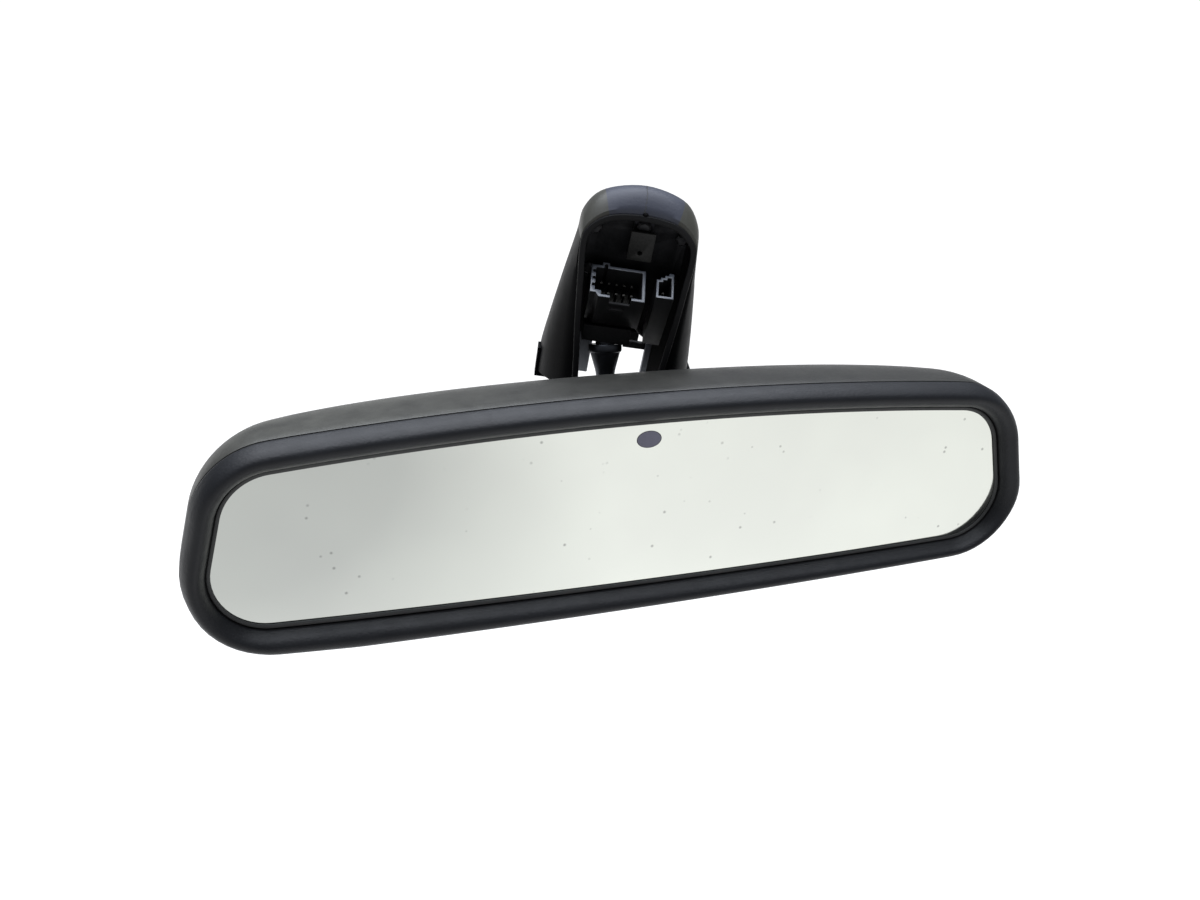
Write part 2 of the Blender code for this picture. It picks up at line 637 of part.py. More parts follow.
def make_bracket(cast, screw_steel):
    block = box("stud_bracket", ARM, (-11.6, 2.2), (3.5, 17.0), (29.7, 34.4), cast)
    join(block, box("bracket_back_shape", FOOT, (-11.6, 2.2), (23.4, 25.6), (24.5, 35.6)))
    cut(block, turned("stud_seat_cutter", STUD, ((3.1, 26), (3.1, 40)), steps=20))
    bores = [(-9.4, 33.6), (0.2, 33.6)]
    for i, (x, z) in enumerate(bores):
        cut(block, pin(f"bracket_bore_{i}", FOOT, (x, 20, z), ((1.1, 0), (1.1, 10)), steps=10))
        bore = pin(f"wall_bore_{i}", FOOT, (x, 20, z), ((0.9, 0), (0.9, 10)), steps=10)
        cut(bpy.data.objects["mount_housing"], bore)
        shape = ((1.2, -1.5), (1.8, -1.0), (1.8, -GAP), (0.7, -GAP), (0.7, 3.4))
        pin(f"bracket_screw_{i + 1}", FOOT, (x, 23.4, z), shape, screw_steel, steps=8)


# ---- leads ----
def make_leads(sleeve):
    along = Vector(STUD_LEAN).normalized()
    arm_route = [tuple(along * s) for s in (0.4, 10, 20, 30, 34)] + [(-5.0, 8.5, 35.9), (-4.6, 8.2, 37.7)]
    lead("arm_harness", ARM, arm_route, 1.0, sleeve)
    small_route = [
        (9.0, 11.9, 31.6), (7.4, 13.2, 30.4), (4.6, 13.6, 32.6), (2.0, 12.4, 35.9), (-3.2, 9.9, 36.9),
    ]
    lead("small_lead", ARM, small_route, 0.6, sleeve)
    head_route = [
        (0, 0, -0.4), (0, 0, -5), (0, 0, -10), (1, -1, -15), (7, -6, -18), (18, -11, -14), (28, -13.5, -6),
        (31, -17.0, -2.6), (31, -21.6, -2.5),
    ]
    lead("head_harness", HEAD, head_route, 1.0, sleeve)


black = material("black_satin_plastic", (0.020, 0.022, 0.024), 0.42)
black_inner = material("black_plain_plastic", (0.012, 0.012, 0.013), 0.55)
carrier_grey = material("grey_plastic", (0.10, 0.10, 0.11), 0.6)
clear_glass = material("clear_glass", (0.95, 0.98, 0.96), 0.02, 0.0, 0.9)
mirror_glass = material("mirror_coat", (0.80, 0.83, 0.80), 0.03, 1.0)
gel_tint = material("dimming_gel", (0.80, 0.88, 0.82), 0.1, 0.0, 0.8)
seal_grey = material("seal_resin", (0.20, 0.20, 0.20), 0.5)
copper = material("bus_copper", (0.72, 0.42, 0.25), 0.35, 1.0)
foam = material("pad_foam", (0.05, 0.05, 0.05), 0.95)
board_green = material("board_green", (0.02, 0.12, 0.05), 0.4)
chip_black = material("chip_epoxy", (0.03, 0.03, 0.03), 0.6)
zinc = material("zinc_casting", (0.28, 0.29, 0.30), 0.45, 1.0)
stud_steel = material("stud_steel", (0.16, 0.17, 0.19), 0.38, 1.0)
screw_steel = material("screw_steel", (0.55, 0.55, 0.56), 0.3, 1.0)
spring_steel = material("spring_steel", (0.30, 0.30, 0.31), 0.35, 1.0)
liner_white = material("liner_acetal", (0.80, 0.79, 0.75), 0.4)
pin_tin = material("pin_tin", (0.65, 0.62, 0.55), 0.3, 1.0)
sleeve_black = material("lead_sleeve", (0.02, 0.02, 0.02), 0.6)

make_bezel(black)
make_rear_housing(black)
make_cell(clear_glass, mirror_glass, seal_grey, gel_tint, copper, foam)
make_carrier(carrier_grey, screw_steel)
make_electronics(board_green, chip_black, black_inner, clear_glass)
make_ball_joint(zinc, liner_white, stud_steel)
make_mount_housing(black)
make_foot(zinc, spring_steel, black_inner, screw_steel)
make_sockets(black_inner, pin_tin)
make_bracket(black_inner, screw_steel)
make_leads(sleeve_black)
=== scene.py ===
"""Interior rearview mirror: finished surfaces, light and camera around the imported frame."""

import json
import math
import random

import bmesh
import bpy
from mathutils import Matrix, Vector


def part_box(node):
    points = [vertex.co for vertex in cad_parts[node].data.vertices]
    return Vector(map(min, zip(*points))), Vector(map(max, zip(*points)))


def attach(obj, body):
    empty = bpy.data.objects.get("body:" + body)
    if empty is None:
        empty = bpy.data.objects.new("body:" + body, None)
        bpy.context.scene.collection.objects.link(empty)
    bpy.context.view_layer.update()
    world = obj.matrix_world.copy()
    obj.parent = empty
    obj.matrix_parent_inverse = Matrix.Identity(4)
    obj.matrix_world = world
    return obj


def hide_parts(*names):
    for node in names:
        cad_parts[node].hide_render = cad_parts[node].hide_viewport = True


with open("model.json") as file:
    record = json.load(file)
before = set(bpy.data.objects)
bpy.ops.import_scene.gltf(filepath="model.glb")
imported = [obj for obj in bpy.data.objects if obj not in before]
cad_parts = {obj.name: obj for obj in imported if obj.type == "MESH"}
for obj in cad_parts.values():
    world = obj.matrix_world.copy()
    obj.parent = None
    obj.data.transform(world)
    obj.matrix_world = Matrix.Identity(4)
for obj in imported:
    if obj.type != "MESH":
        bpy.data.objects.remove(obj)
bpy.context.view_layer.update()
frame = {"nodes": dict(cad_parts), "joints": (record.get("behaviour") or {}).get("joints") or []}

MM = 0.001
BALL = Vector(frame["joints"][0]["pos_m"])  # centre of the ball joint

# ---- the object's own frames, as the frame model was built ----
ARM_YAW = -15.4
ARM_ROLL = 7.0
FOOT_TILT = 15.0
SOCKET_TILT = 35.0
STUD_LEAN = (-0.148, 0.240, 0.960)
MOUTH_BACK = 14.0

HEAD = Matrix.Translation(BALL)
ARM = HEAD @ Matrix.Rotation(math.radians(ARM_YAW), 4, "Z") @ Matrix.Rotation(math.radians(ARM_ROLL), 4, "Y")
FOOT = ARM @ Matrix.Rotation(math.radians(FOOT_TILT), 4, "X")
STUD = ARM @ Vector((0, 0, 1)).rotation_difference(Vector(STUD_LEAN)).to_matrix().to_4x4()
SOCKET_TURN = Matrix.Rotation(math.radians(SOCKET_TILT), 4, "X")
MAIN = ARM @ Matrix.Translation(Vector((-11.9, 5.8, 51.7)) * MM) @ SOCKET_TURN
SMALL = ARM @ Matrix.Translation(Vector((6.5, 3.0, 52.7)) * MM) @ SOCKET_TURN
MOUTH = HEAD @ Matrix.Rotation(math.radians(-MOUTH_BACK), 4, "X")

# ---- dimensions in millimetres ----
GLASS_Y = -36.0
MID_Z = -2.5
GLASS_TOP = 22.9
GLASS_BOTTOM = -24.3
TOP_ARC_R = 1080.0
BOTTOM_ARC_R = 3200.0
SIDE_X = 110.9
SIDE_SLANT = 0.25
CORNER_R = 14.0
BEZEL_WIDTH = 8.4
END_NARROW = 0.12
LOW_NARROW = 0.065
LOW_TAPER = 0.21
SEAM = 0.8
SEAM_GAP = 0.45
CROWN_START = 4.3
CROWN_MID = 39.0
CROWN_END = 8.0
CROWN_POWER = 2.4
CROWN_SWEEP = 0.475  # share of a half turn, so that the crown ends in a flat ridge
RIDGE_LENGTH = 0.84
TOP_STEPS = 64
CORNER_STEPS = 14
SIDE_STEPS = 8
CROWN_STEPS = 22

WALL = 1.8
FLARE = 3.2
CHEEK_COLUMNS = 25  # spans of the arm's outline from the foot of a cheek to the facet
CROWN_COLUMN = 36  # first span of the crown, after the facet
WINDSCREEN = 28.0
NEAR_RIM = (
    (12.6, 15.5), (13.4, 24), (14.7, 36), (15.7, 48), (16.4, 58), (15.0, 62.9), (9.6, 67.0), (0, 68.3),
)
FAR_RIM = (
    (23.0, 7), (22.5, 16.3), (21.2, 26.7), (19.3, 40.1), (17.2, 53.6), (16.2, 61.5), (11.2, 67.6), (0, 70.3),
)
FOOT_SCREWS = [(x, z) for x in (-12.4, 12.4) for z in (45, 58)]

DUST_AND_SHEEN_FULL = -0.075  # metres along the head: the film, partly dust and partly painted light, is full up to here at the left end
DUST_AND_SHEEN_THIN = -0.020  # and thin from here on toward the arm, as painted shade


# ---- materials ----
def started(name):
    made = bpy.data.materials.new(name)
    made.use_nodes = True
    return made, made.node_tree, made.node_tree.nodes["Principled BSDF"]


def noise(tree, scale, detail=3.0, rough=0.55, stretch=None):
    """Noise output over the piece's own coordinates, in features per metre."""
    place = tree.nodes.new("ShaderNodeTexCoord").outputs["Object"]
    if stretch:
        mapping = tree.nodes.new("ShaderNodeMapping")
        mapping.inputs["Scale"].default_value = stretch
        tree.links.new(place, mapping.inputs["Vector"])
        place = mapping.outputs["Vector"]
    texture = tree.nodes.new("ShaderNodeTexNoise")
    texture.inputs["Scale"].default_value = scale
    texture.inputs["Detail"].default_value = detail
    texture.inputs["Roughness"].default_value = rough
    tree.links.new(place, texture.inputs["Vector"])
    return texture.outputs["Fac"]


def ramp(tree, source, low, high, start=0.3, end=0.7):
    made = tree.nodes.new("ShaderNodeValToRGB")
    made.color_ramp.elements[0].position = start
    made.color_ramp.elements[0].color = (*low, 1)
    made.color_ramp.elements[1].position = end
    made.color_ramp.elements[1].color = (*high, 1)
    tree.links.new(source, made.inputs["Fac"])
    return made.outputs["Color"]


def spread(tree, source, low, high):
    made = tree.nodes.new("ShaderNodeMapRange")
    made.inputs["To Min"].default_value = low
    made.inputs["To Max"].default_value = high
    made.inputs["From Min"].default_value = 0.25
    made.inputs["From Max"].default_value = 0.75
    tree.links.new(source, made.inputs["Value"])
    return made.outputs["Result"]


def mixed(tree, share, first, second):
    made = tree.nodes.new("ShaderNodeMix")
    made.data_type = "RGBA"
    tree.links.new(share, made.inputs["Factor"])
    for source, socket in ((first, made.inputs["A"]), (second, made.inputs["B"])):
        if isinstance(source, tuple):
            socket.default_value = (*source, 1)
        else:
            tree.links.new(source, socket)
    return made.outputs["Result"]


def bump(tree, shader, source, depth):
    made = tree.nodes.new("ShaderNodeBump")
    made.inputs["Strength"].default_value = 1.0
    made.inputs["Distance"].default_value = depth
    tree.links.new(source, made.inputs["Height"])
    previous = shader.inputs["Normal"]
    if previous.is_linked:
        tree.links.new(previous.links[0].from_socket, made.inputs["Normal"])
    tree.links.new(made.outputs["Normal"], shader.inputs["Normal"])


def upward(tree, low, high):
    """0 to 1 as the surface turns to face up."""
    split = tree.nodes.new("ShaderNodeSeparateXYZ")
    tree.links.new(tree.nodes.new("ShaderNodeNewGeometry").outputs["Normal"], split.inputs["Vector"])
    made = tree.nodes.new("ShaderNodeMapRange")
    made.inputs["From Min"].default_value = low
    made.inputs["From Max"].default_value = high
    tree.links.new(split.outputs["Z"], made.inputs["Value"])
    return made.outputs["Result"]


def plastic(name, dark, light, rough=(0.36, 0.46), grain=2600, depth=0.00004, specular=0.3, dust_and_sheen=None):
    """Moulded plastic: cloudy tone, fine grain and, where a film colour is given, a film on what faces up
    that is partly dust and partly painted light, thinning along the head as painted shade.
    """
    made, tree, shader = started(name)
    colour = ramp(tree, noise(tree, 55, 4), dark, light)
    # partly dust, partly painted light: up-facing surfaces blend toward the olive film colour as a painted
    # reflection
    if dust_and_sheen:
        film = tree.nodes.new("ShaderNodeMath")
        film.operation = "MULTIPLY"
        tree.links.new(upward(tree, 0.2, 0.95), film.inputs[0])
        tree.links.new(spread(tree, noise(tree, 130, 6, 0.7), 0.35, 1.0), film.inputs[1])
        place = tree.nodes.new("ShaderNodeSeparateXYZ")
        tree.links.new(tree.nodes.new("ShaderNodeTexCoord").outputs["Object"], place.inputs["Vector"])
        # painted light: the film is full at the left end of the head and thins toward the arm as painted
        # shade
        fade = tree.nodes.new("ShaderNodeMapRange")
        fade.inputs["From Min"].default_value = DUST_AND_SHEEN_FULL
        fade.inputs["From Max"].default_value = DUST_AND_SHEEN_THIN
        fade.inputs["To Min"].default_value = 1.0
        fade.inputs["To Max"].default_value = 0.34
        tree.links.new(place.outputs["X"], fade.inputs["Value"])
        thin = tree.nodes.new("ShaderNodeMath")
        thin.operation = "MULTIPLY"
        tree.links.new(film.outputs["Value"], thin.inputs[0])
        tree.links.new(fade.outputs["Result"], thin.inputs[1])
        colour = mixed(tree, thin.outputs["Value"], colour, dust_and_sheen)
    tree.links.new(colour, shader.inputs["Base Color"])
    tree.links.new(spread(tree, noise(tree, 240, 4), *rough), shader.inputs["Roughness"])
    shader.inputs["Specular IOR Level"].default_value = specular
    bump(tree, shader, noise(tree, grain, 2), depth)
    return made


def metal(name, dark, light, rough, grain=900, depth=0.00003, stretch=None):
    made, tree, shader = started(name)
    tree.links.new(ramp(tree, noise(tree, 180, 5, 0.6, stretch), dark, light), shader.inputs["Base Color"])
    tree.links.new(spread(tree, noise(tree, 500, 4, 0.6, stretch), *rough), shader.inputs["Roughness"])
    shader.inputs["Metallic"].default_value = 1.0
    bump(tree, shader, noise(tree, grain, 4, 0.6, stretch), depth)
    return made


def clear(name, dark, light, rough=(0.0, 0.02)):
    made, tree, shader = started(name)
    tree.links.new(ramp(tree, noise(tree, 40, 3), dark, light), shader.inputs["Base Color"])
    tree.links.new(spread(tree, noise(tree, 90, 5), *rough), shader.inputs["Roughness"])
    shader.inputs["Transmission Weight"].default_value = 1.0
    shader.inputs["IOR"].default_value = 1.5
    return made


def mirror_coat(name):
    """Silvered glass with a cool green cast, faint cloudy haze and a few dust specks and hairlines."""
    made, tree, shader = started(name)
    cloud = ramp(tree, noise(tree, 16, 3), (0.660, 0.675, 0.625), (0.705, 0.725, 0.665), 0.35, 0.65)
    specks = tree.nodes.new("ShaderNodeTexVoronoi")
    specks.inputs["Scale"].default_value = 230
    tree.links.new(tree.nodes.new("ShaderNodeTexCoord").outputs["Object"], specks.inputs["Vector"])
    near = ramp(tree, specks.outputs["Distance"], (1, 1, 1), (0, 0, 0), 0.05, 0.13)
    chosen = ramp(tree, noise(tree, 60, 3), (0, 0, 0), (1, 1, 1), 0.46, 0.54)
    both = tree.nodes.new("ShaderNodeMath")
    both.operation = "MULTIPLY"
    tree.links.new(near, both.inputs[0])
    tree.links.new(chosen, both.inputs[1])
    tree.links.new(mixed(tree, both.outputs["Value"], cloud, (0.40, 0.41, 0.38)), shader.inputs["Base Color"])
    tree.links.new(spread(tree, noise(tree, 24, 4), 0.03, 0.09), shader.inputs["Roughness"])
    shader.inputs["Metallic"].default_value = 1.0
    return made


black = plastic(
    "black_satin_plastic", (0.005, 0.0055, 0.007), (0.008, 0.009, 0.011), (0.44, 0.52), 1500, 0.00007, 0.24
)
# the rear housing's olive film on what faces up is partly dust and partly painted light
back_black = plastic(
    "rear_housing_plastic", (0.008, 0.008, 0.008), (0.013, 0.013, 0.012), dust_and_sheen=(0.056, 0.056, 0.048)
)
arm_black = plastic(
    "arm_satin_plastic", (0.002, 0.002, 0.0022), (0.0035, 0.0035, 0.004), (0.38, 0.46), specular=0.04
)
# painted highlight: the blue-grey of the arm's crown stands in for the overhead light it reflects
crown_highlight_blue = plastic(
    "arm_crown_painted_highlight", (0.030, 0.033, 0.046), (0.042, 0.046, 0.060), (0.46, 0.54), 1500, 0.00006, 0.22
)
tab_black = plastic(
    "tab_grained_plastic", (0.005, 0.005, 0.005), (0.014, 0.014, 0.013), (0.5, 0.6), 1300, 0.00012
)
# painted highlight: the lighter blue-grey on the socket mouths' rims stands in for the light they catch
rim_highlight_grey = plastic("socket_rim_painted_highlight", (0.05, 0.056, 0.066), (0.11, 0.12, 0.14), (0.3, 0.4), specular=0.5)
# painted highlight: a thin light line along the cheeks' near edge, where the rounded edge catches the
# overhead light
edge_highlight = plastic(
    "arm_edge_painted_highlight", (0.16, 0.165, 0.15), (0.26, 0.27, 0.24), (0.4, 0.5), specular=0.4
)
# painted light: the flanges' lighter blue-grey stands in for the light that catches their edges
flange_lit_grey = plastic("flange_painted_light", (0.11, 0.12, 0.14), (0.16, 0.17, 0.19), (0.4, 0.5), specular=0.4)
lip_grey = plastic("lip_rubbed_plastic", (0.024, 0.025, 0.025), (0.040, 0.041, 0.040), (0.5, 0.62))
inner_black = plastic(
    "inner_plain_plastic", (0.003, 0.003, 0.0035), (0.006, 0.006, 0.0065), (0.5, 0.62), specular=0.16
)
# painted reflection: the olive corner facets stand in for a shading change at a crease that the smooth mesh
# lacks
facet_reflection_olive = plastic(
    "arm_corner_painted_reflection", (0.030, 0.030, 0.026), (0.046, 0.046, 0.038), (0.42, 0.52), specular=0.3
)
carrier_grey = plastic("grey_carrier_plastic", (0.08, 0.08, 0.085), (0.12, 0.12, 0.125), (0.5, 0.65))
seal = plastic("grey_seal_resin", (0.16, 0.16, 0.16), (0.24, 0.24, 0.23), (0.4, 0.6))
foam = plastic("open_cell_foam", (0.02, 0.02, 0.02), (0.07, 0.07, 0.07), (0.9, 1.0), 1500, 0.0003, 0.1)
board_green = plastic(
    "board_solder_mask", (0.010, 0.085, 0.035), (0.018, 0.13, 0.05), (0.25, 0.4), 700, 0.00003, 0.5
)
chip_black = plastic("chip_epoxy_cast", (0.02, 0.02, 0.02), (0.04, 0.04, 0.04), (0.55, 0.7))
liner = plastic("acetal_liner", (0.72, 0.71, 0.66), (0.82, 0.81, 0.77), (0.35, 0.45), specular=0.5)
sleeve = plastic(
    "lead_sleeve_rubber", (0.010, 0.010, 0.010), (0.022, 0.022, 0.022), (0.55, 0.7), 1800, 0.00006
)
zinc = metal("zinc_die_casting", (0.24, 0.25, 0.26), (0.36, 0.37, 0.38), (0.42, 0.58), 700, 0.00008)
foot_dark = metal(
    "blackened_casting", (0.012, 0.012, 0.013), (0.028, 0.028, 0.030), (0.5, 0.65), 700, 0.00006
)
stud_dark = metal(
    "phosphated_steel", (0.035, 0.038, 0.044), (0.075, 0.08, 0.09), (0.34, 0.48), 900, 0.00003
)
screw = metal("zinc_plated_steel", (0.46, 0.46, 0.47), (0.62, 0.62, 0.64), (0.22, 0.36))
dull_screw = metal("black_oxide_steel", (0.02, 0.02, 0.022), (0.05, 0.05, 0.052), (0.4, 0.55))
spring_steel = metal(
    "blued_spring_steel", (0.015, 0.015, 0.017), (0.035, 0.035, 0.04), (0.35, 0.45), stretch=(1, 1, 6)
)
tin = metal("tarnished_pins", (0.015, 0.015, 0.014), (0.04, 0.038, 0.034), (0.35, 0.5))
copper = metal("copper_strip", (0.60, 0.32, 0.19), (0.76, 0.45, 0.28), (0.28, 0.45))
gel = clear("dimming_gel_film", (0.975, 0.985, 0.978), (0.985, 0.99, 0.985))
pipe = clear("light_pipe_acrylic", (0.85, 0.87, 0.86), (0.93, 0.95, 0.94), (0.05, 0.12))
silvered = mirror_coat("silvered_glass")

CAD_LOOKS = {
    "front_glass": silvered, "electrochromic_gel": gel, "rear_glass": silvered, "cell_seal": seal,
    "bus_clip_top": copper, "bus_clip_bottom": copper, "foam_pad": foam, "glass_carrier": carrier_grey,
    "circuit_board": board_green, "controller_chip": chip_black, "ambient_sensor": chip_black,
    "glare_sensor": chip_black, "sensor_light_pipe": pipe, "ambient_light_pipe": pipe,
    "board_connector": inner_black, "ball_socket": zinc, "seat_cup": liner, "seat_ring": liner,
    "ball_stud": stud_dark, "mount_housing": arm_black, "foot_plate": foot_dark,
    "retaining_spring": spring_steel, "spring_rivet": dull_screw, "release_tab": tab_black,
    "main_socket": inner_black, "small_socket": inner_black, "main_pin_header": tin,
    "small_pin_header": tin, "stud_bracket": inner_black, "arm_harness": sleeve, "small_lead": sleeve,
    "head_harness": sleeve, "front_bezel": black, "rear_housing": back_black,
}
for name, part in frame["nodes"].items():
    if "foot_screw" in name or "bracket_screw" in name:
        look = dull_screw
    elif "screw" in name:
        look = screw
    else:
        look = CAD_LOOKS[name]
    for material_slot in part.material_slots:
        material_slot.material = look


# ---- building blocks ----
def piece(name, body, place, verts, faces, looks, sharp=40, indices=None, slot=None, stands_for=()):
    """One finished mesh from millimetre points in a frame, riding on a body."""
    mesh = bpy.data.meshes.new(name)
    bm = bmesh.new()
    made = [bm.verts.new(place @ (Vector(v) * MM)) for v in verts]
    for k, face in enumerate(faces):
        new = bm.faces.new([made[i] for i in face])
        new.material_index = indices[k] if indices else 0
    bmesh.ops.recalc_face_normals(bm, faces=bm.faces)
    bm.to_mesh(mesh)
    bm.free()
    for look in looks:
        mesh.materials.append(look)
    made_object = bpy.data.objects.new(name, mesh)
    bpy.context.scene.collection.objects.link(made_object)
    smooth(made_object, sharp)
    if body:
        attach(made_object, body)
    if stands_for:
        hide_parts(*stands_for)
    return made_object


def smooth(thing, sharp):
    thing.data.shade_smooth()
    thing.data.set_sharp_from_angle(angle=math.radians(sharp))


def loft(rings, closed=False):
    count = len(rings[0])
    verts = [point for ring in rings for point in ring]
    faces = []
    for r in range(len(rings) if closed else len(rings) - 1):
        a = r * count
        b = (r + 1) % len(rings) * count
        faces += [(a + i, a + (i + 1) % count, b + (i + 1) % count, b + i) for i in range(count)]
    if not closed:
        faces += [tuple(range(count)), tuple(range(len(verts) - count, len(verts)))]
    return verts, faces


def circle(radius, steps, height):
    turns = [2 * math.pi * i / steps for i in range(steps)]
    return [(radius * math.cos(t), radius * math.sin(t), height) for t in turns]


def ball_profile(radius, steps, low=-88.0, high=88.0):
    angles = [math.radians(low + (high - low) * i / steps) for i in range(steps + 1)]
    return [(radius * math.cos(a), radius * math.sin(a)) for a in angles]


def curve_through(points, per_span):
    """Catmull-Rom points through a list of places."""
    path = [Vector(p) for p in points]
    path = [2 * path[0] - path[1], *path, 2 * path[-1] - path[-2]]
    out = []
    for i in range(1, len(path) - 2):
        p0, p1, p2, p3 = path[i - 1 : i + 3]
        for k in range(per_span):
            t = k / per_span
            out.append(
                0.5 * (2 * p1 + (p2 - p0) * t + (2 * p0 - 5 * p1 + 4 * p2 - p3) * t**2
                       + (3 * p1 - p0 - 3 * p2 + p3) * t**3)
            )
    out.append(path[-2])
    return out


def cutter(name, place, verts, faces, look=None):
    return piece(name, None, place, verts, faces, [look] if look else [], sharp=40)


def block(name, place, x, y, z):
    rings = [[(x[0], y[0], h), (x[1], y[0], h), (x[1], y[1], h), (x[0], y[1], h)] for h in z]
    return cutter(name, place, *loft(rings))


def shape(target, operation, *others):
    """Cuts or joins helper meshes and removes them."""
    for other in others:
        step = target.modifiers.new("shape", "BOOLEAN")
        step.operation = operation
        step.solver = "EXACT"
        step.object = other
    settle(target)
    for other in others:
        bpy.data.objects.remove(other, do_unlink=True)


def settle(target):
    """Keeps what the modifiers make."""
    graph = bpy.context.evaluated_depsgraph_get()
    made = bpy.data.meshes.new_from_object(target.evaluated_get(graph))
    target.modifiers.clear()
    target.data = made


# ---- outline of the head ----
def arc_height(x, grow, radius, level):
    return math.sqrt((radius + grow) ** 2 - x * x) - radius + level


def corner_centre(upper):
    length = math.hypot(1, SIDE_SLANT)
    height = 0.0
    for _ in range(8):
        x = SIDE_X - SIDE_SLANT * height - CORNER_R * length
        top = arc_height(x, -CORNER_R, TOP_ARC_R, GLASS_TOP)
        low = -arc_height(x, -CORNER_R, BOTTOM_ARC_R, -GLASS_BOTTOM)
        height = top if upper else low
    return x, height


def low_lift(x, z, grow):
    low = min(max(-z / 20, 0), 1)
    return grow * low * low * (3 - 2 * low) * (LOW_NARROW + LOW_TAPER * x / SIDE_X)


def corner_eased(x, z, grow):
    """The band is a little narrower round the lower left corner."""
    near = min(max((-x - 78) / 26, 0), 1) * min(max(-z / 16, 0), 1)
    return x + 0.07 * grow * near, z + 0.13 * grow * near


def head_outline(grow):
    """Closed (x, z) outline of the visible glass moved out by grow."""
    ux, uz = corner_centre(True)
    lx, lz = corner_centre(False)
    ux -= grow * END_NARROW
    lx -= grow * END_NARROW
    radius = CORNER_R + grow
    end = math.atan(SIDE_SLANT)
    right = []
    for k in range(CORNER_STEPS + 1):
        turn = math.pi / 2 - 0.09 + (end - math.pi / 2 + 0.09) * k / CORNER_STEPS
        right.append((ux + radius * math.cos(turn), uz + radius * math.sin(turn)))
    first = right[-1]
    low_start = (lx + radius * math.cos(end), lz + radius * math.sin(end))
    for k in range(1, SIDE_STEPS):
        share = k / SIDE_STEPS
        right.append(tuple(a + (b - a) * share for a, b in zip(first, low_start)))
    for k in range(CORNER_STEPS + 1):
        turn = end + (-math.pi / 2 + 0.03 - end) * k / CORNER_STEPS
        right.append((lx + radius * math.cos(turn), lz + radius * math.sin(turn)))
    xs = [ux * (2 * i / TOP_STEPS - 1) for i in range(1, TOP_STEPS)]
    top = [(x, arc_height(x, grow, TOP_ARC_R, GLASS_TOP)) for x in xs]
    bottom = [(-x, -arc_height(x, grow, BOTTOM_ARC_R, -GLASS_BOTTOM)) for x in xs]
    left = [(-x, z) for x, z in reversed(right)]
    return [corner_eased(x, z + low_lift(x, z, grow), grow) for x, z in top + right + bottom + left]


low_corner, high_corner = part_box("front_bezel")
LIMIT_LEFT, LIMIT_RIGHT = (low_corner.x - BALL.x) / MM, (high_corner.x - BALL.x) / MM
LIMIT_LOW, LIMIT_HIGH = (low_corner.z - BALL.z) / MM, (high_corner.z - BALL.z) / MM


def inside_head(x, y, z):
    return min(max(x, LIMIT_LEFT), LIMIT_RIGHT), y, min(max(z, LIMIT_LOW), LIMIT_HIGH)


def head_ring(grow, behind):
    return [inside_head(x, GLASS_Y + behind, MID_Z + z) for x, z in head_outline(grow)]


# ---- bezel: rubbed lip, groove in painted shade and half-round band ----
def make_bezel():
    lip = [
        (0.0, -0.12), (0.0, -0.36), (0.10, -0.50), (0.45, -0.60), (0.88, -0.68), (1.05, -0.62), (1.10, -0.1),
    ]
    groove = [(1.42, -0.1)]
    band = curve_through(
        [(1.46, -1.1, 0), (2.1, -2.9, 0), (3.3, -4.5, 0), (4.7, -5.28, 0), (6.2, -4.75, 0), (7.5, -2.9, 0),
         (8.15, -0.9, 0), (8.36, 0.0, 0)], 4
    )
    band = [(p.x, p.y) for p in band]
    tail = [(8.38, 0.45), (8.30, SEAM - 0.05), (8.0, SEAM), (6.1, SEAM), (6.1, 1.8), (2.6, 1.8), (2.6, -0.12)]
    section = lip + groove + band + tail
    rings = [head_ring(grow, behind) for grow, behind in section]
    verts, faces = loft(rings, closed=True)
    count = len(rings[0])
    indices = []
    for r in range(len(rings)):
        # the lip rings take the grey lip plastic; the groove rings take the darker inner plastic as painted
        # shade, as does the hidden back
        kind = 1 if r < 5 else 2 if r < 8 or r > len(rings) - 7 else 0
        indices += [kind] * count
    piece("bezel_band", "head", HEAD, verts, faces, [black, lip_grey, inner_black], 38, indices,
          "black_satin_plastic", ("front_bezel",))


# ---- rear housing ----
def crown_depth(x):
    return CROWN_END + (CROWN_MID - CROWN_END) * (1 - (min(abs(x), 124) / 125) ** 5)


def crown_mesh(inset):
    outline = head_outline(BEZEL_WIDTH - inset)
    start = SEAM + SEAM_GAP
    rings = []
    if inset:
        rings.append([(x, GLASS_Y + start - 1, MID_Z + z) for x, z in outline])
    else:
        for narrow, behind in ((0.35, 0.0), (0.08, 0.06), (0.0, 0.3)):
            soft = head_outline(BEZEL_WIDTH - narrow)
            rings.append([inside_head(x, GLASS_Y + start + behind, MID_Z + z) for x, z in soft])
    for k in range(CROWN_STEPS + 1):
        share = math.sin(CROWN_SWEEP * math.pi * k / CROWN_STEPS)
        shrink = (1 - share**CROWN_POWER) ** (1 / CROWN_POWER)
        along = RIDGE_LENGTH + (1 - RIDGE_LENGTH) * shrink
        ring = []
        for x, z in outline:
            deep = (crown_depth(x * along) - inset) * share
            ring.append(inside_head(x * along, GLASS_Y + CROWN_START + deep, MID_Z + z * shrink))
        rings.append(ring)
    verts, faces = loft(rings)
    faces.pop()
    base = len(verts) - len(outline)
    count = len(outline)
    tops = TOP_STEPS - 1
    bottom = count // 2
    for i in range(tops - 1):
        j = bottom + tops - 1 - i
        faces.append((base + i, base + i + 1, base + j - 1, base + j))
    faces.append(tuple(base + k for k in range(tops - 1, bottom + 1)))
    faces.append((base, *[base + k for k in range(bottom + tops - 1, count)]))
    return verts, faces


